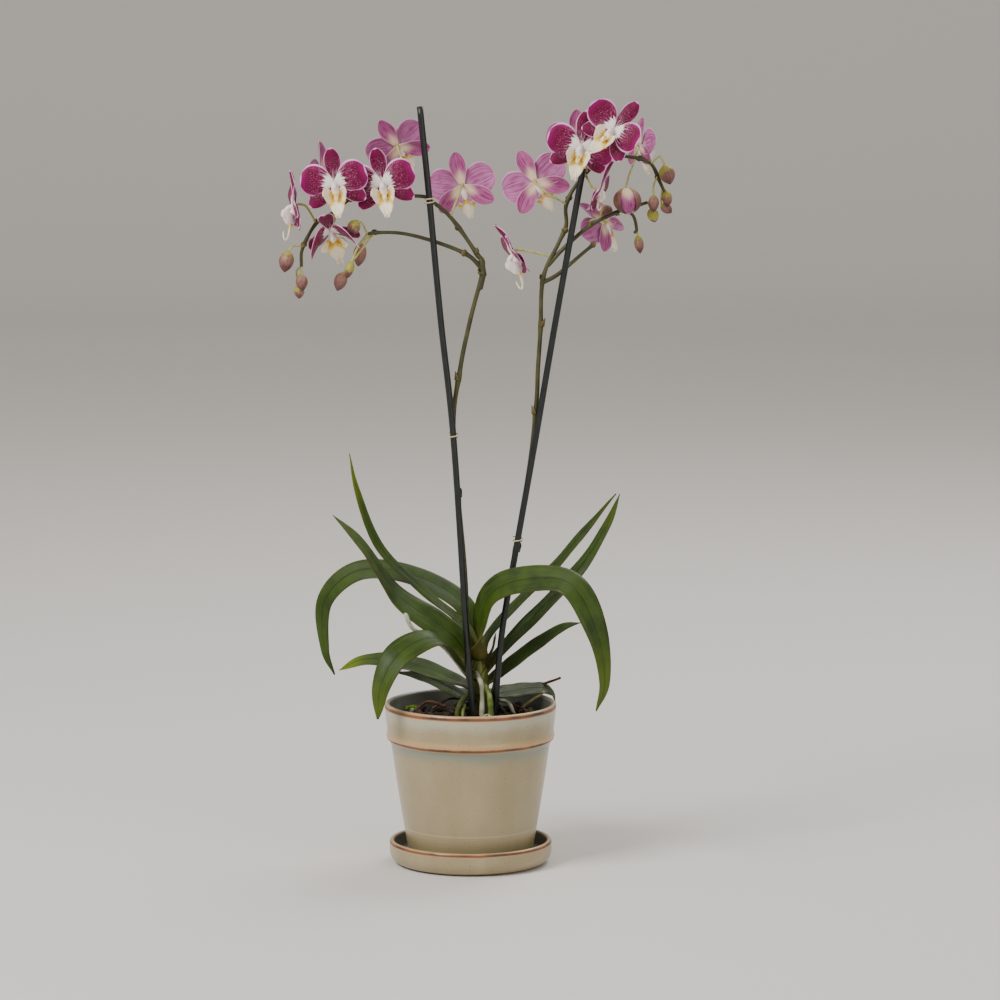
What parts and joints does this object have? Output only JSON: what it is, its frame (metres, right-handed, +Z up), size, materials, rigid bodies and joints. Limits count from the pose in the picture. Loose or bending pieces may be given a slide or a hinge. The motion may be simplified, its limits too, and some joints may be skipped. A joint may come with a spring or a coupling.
{
  "type": "potted orchid",
  "caption": "Moth orchid with two staked flower spikes, magenta flowers and buds, growing in bark in a cream glazed pot on its saucer.",
  "frame": {"origin": "middle of the saucer's flat underside, on the pot's axis", "axes": "+Z up along the pot's axis, -Y towards the side that most of the flowers face, +X to the right of that view"},
  "size_m": [0.3092, 0.1499, 0.6084],
  "materials": {
    "glaze": "satin cream glaze with brown-orange edges",
    "bark": "dark damp bark chips",
    "moss": "bright green moss",
    "crown_green": "green-brown leaf sheaths",
    "leaf_green": "thick satin leaf",
    "root_green": "green root",
    "root_silver": "silvery velamen on a root",
    "root_dry": "dried brown root",
    "stake_dark": "very dark green coating",
    "tie_tan": "pale tan coated wire",
    "spike_olive": "olive flower stem",
    "petal_pink": "magenta petals with pale margins",
    "bud_pink": "pink-tan bud with a yellow-green top"
  },
  "bodies": {
    "root": {"bud_behind_branch": "bud_pink", "bud_branch_dark": "bud_pink", "bud_branch_green": "bud_pink", "bud_branch_low": "bud_pink", "bud_branch_top": "bud_pink", "bud_left_hanging": "bud_pink", "bud_left_outer": "bud_pink", "bud_left_tip": "bud_pink", "bud_opening": "bud_pink", "bud_right_end": "bud_pink", "bud_right_hanging": "bud_pink", "bud_right_low": "bud_pink", "bud_right_outer": "bud_pink", "bud_right_tip": "bud_pink", "crown": "crown_green", "flower_left_behind": "petal_pink", "flower_left_end": "petal_pink", "flower_left_front": "petal_pink", "flower_left_inner": "petal_pink", "flower_left_nodding": "petal_pink", "flower_left_second": "petal_pink", "flower_left_top": "petal_pink", "flower_right_back": "petal_pink", "flower_right_behind": "petal_pink", "flower_right_drooping": "petal_pink", "flower_right_edge": "petal_pink", "flower_right_front": "petal_pink", "flower_right_inner": "petal_pink", "flower_right_low": "petal_pink", "flower_right_top": "petal_pink", "leaf_inner": "leaf_green", "leaf_left_back": "leaf_green", "leaf_left_front": "leaf_green", "leaf_left_low": "leaf_green", "leaf_left_lowest": "leaf_green", "leaf_left_tall": "leaf_green", "leaf_left_upper": "leaf_green", "leaf_right_back": "leaf_green", "leaf_right_front": "leaf_green", "leaf_right_low": "leaf_green", "leaf_right_rim": "leaf_green", "leaf_right_tall": "leaf_green", "medium": "bark", "moss": "moss", "pot": "glaze", "root_aerial": "root_silver", "root_dry": "root_dry", "root_front": "root_silver", "root_front_right": "root_green", "root_left": "root_green", "root_on_rim": "root_dry", "root_right": "root_silver", "saucer": "glaze", "spike_left": "spike_olive", "spike_right": "spike_olive", "stake_left": "stake_dark", "stake_right": "stake_dark", "tie_left_high": "tie_tan", "tie_left_low": "tie_tan", "tie_right": "tie_tan"}
  },
  "joints": []
}
